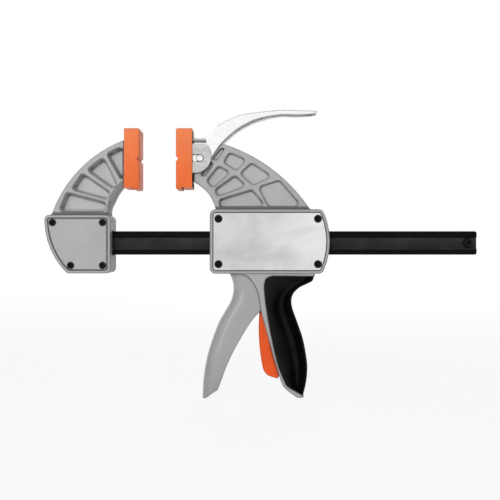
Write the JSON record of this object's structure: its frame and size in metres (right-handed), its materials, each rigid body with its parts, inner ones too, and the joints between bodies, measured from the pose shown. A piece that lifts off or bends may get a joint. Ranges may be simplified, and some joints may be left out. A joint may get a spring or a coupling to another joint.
{
  "type": "quick release bar clamp",
  "caption": "One-handed bar clamp: a fixed jaw on an I-section bar and a sliding jaw with squeeze trigger, brake release and a quick release lever behind its pad.",
  "frame": {"origin": "on the bar's centreline, where the fixed pad's clamping plane crosses it", "axes": "+X along the bar from the fixed jaw to the free end, +Z from the bar up to the pads, +Y away from the viewer of the front covers"},
  "size_m": [0.384, 0.031, 0.2589],
  "materials": {
    "paint_grey": "light grey powder coat on die-cast aluminium",
    "cover_aluminium": "bare brushed plate",
    "black_steel": "black oxide, satin",
    "pad_orange": "soft moulded, matte",
    "orange_plastic": "moulded, semi-gloss",
    "grip_rubber": "soft-touch, matte",
    "zinc_steel": "zinc plated, dull",
    "chrome": "polished",
    "steel": "plain ground",
    "trigger_grey": "light grey powder coat on die-cast aluminium"
  },
  "bodies": {
    "bar_assembly": {"bar": "black_steel", "bar_stop_pin": "steel", "fixed_jaw": "paint_grey", "fixed_jaw_lock_pins": "steel", "fixed_jaw_front_cover": "paint_grey", "fixed_jaw_rear_cover": "paint_grey", "fixed_jaw_front_screws": "black_steel", "fixed_jaw_rear_screws": "black_steel", "fixed_pad": "pad_orange"},
    "jaw_carriage": {"sliding_jaw": "paint_grey", "body_front_cover": "cover_aluminium", "body_rear_cover": "cover_aluminium", "body_front_screws": "black_steel", "body_rear_screws": "black_steel", "front_bar_guide": "steel", "rear_bar_guide": "steel", "handle_grip": "grip_rubber", "trigger_pivot_pin": "steel", "brake_hinge_pin": "steel", "drive_spring": "steel", "brake_spring": "steel", "lever_pin": "steel"},
    "squeeze_trigger": {"trigger": "trigger_grey", "push_pin": "steel"},
    "drive_plates": {"front_drive_plate": "steel", "rear_drive_plate": "steel"},
    "brake_release": {"brake_plate": "steel", "release_lever": "orange_plastic", "release_lever_pin": "steel"},
    "quick_release": {"quick_release_lever": "chrome"},
    "pad_slide": {"pad_carrier": "zinc_steel", "moving_pad": "pad_orange", "pad_end_caps": "grip_rubber", "pad_rivets": "steel"}
  },
  "joints": [
    {"name": "jaw_slide", "type": "slide", "parent": "bar_assembly", "child": "jaw_carriage", "axis": [1, 0, 0], "range_m": [-0.0315, 0.12]},
    {"name": "trigger_pivot", "type": "hinge", "parent": "jaw_carriage", "child": "squeeze_trigger", "pos_m": [0.086, 0, -0.0145], "axis": [0, -1, 0], "range_deg": [0, 20], "stiffness_Nm_per_rad": 0.8, "springref_deg": -17.19},
    {"name": "drive_slide", "type": "slide", "parent": "jaw_carriage", "child": "drive_plates", "axis": [1, 0, 0], "range_m": [0, 0.0029], "deforming": ["drive_spring"]},
    {"name": "release_pivot", "type": "hinge", "parent": "jaw_carriage", "child": "brake_release", "pos_m": [0.116, 0, 0.02], "axis": [0, -1, 0], "range_deg": [0, 5], "stiffness_Nm_per_rad": 1.5, "springref_deg": -3.44, "deforming": ["brake_spring"]},
    {"name": "lever_pivot", "type": "hinge", "parent": "jaw_carriage", "child": "quick_release", "pos_m": [0.0533, 0, 0.075], "axis": [0, 1, 0], "range_deg": [0, 36]},
    {"name": "pad_retract", "type": "slide", "parent": "jaw_carriage", "child": "pad_slide", "axis": [1, 0, 0], "range_m": [0, 0.00101]}
  ],
  "couplings": [
    {"joint": "drive_slide", "follows": "trigger_pivot", "m_per_rad": 0.00822},
    {"joint": "pad_retract", "follows": "lever_pivot", "m_per_rad": 0.0015915}
  ]
}
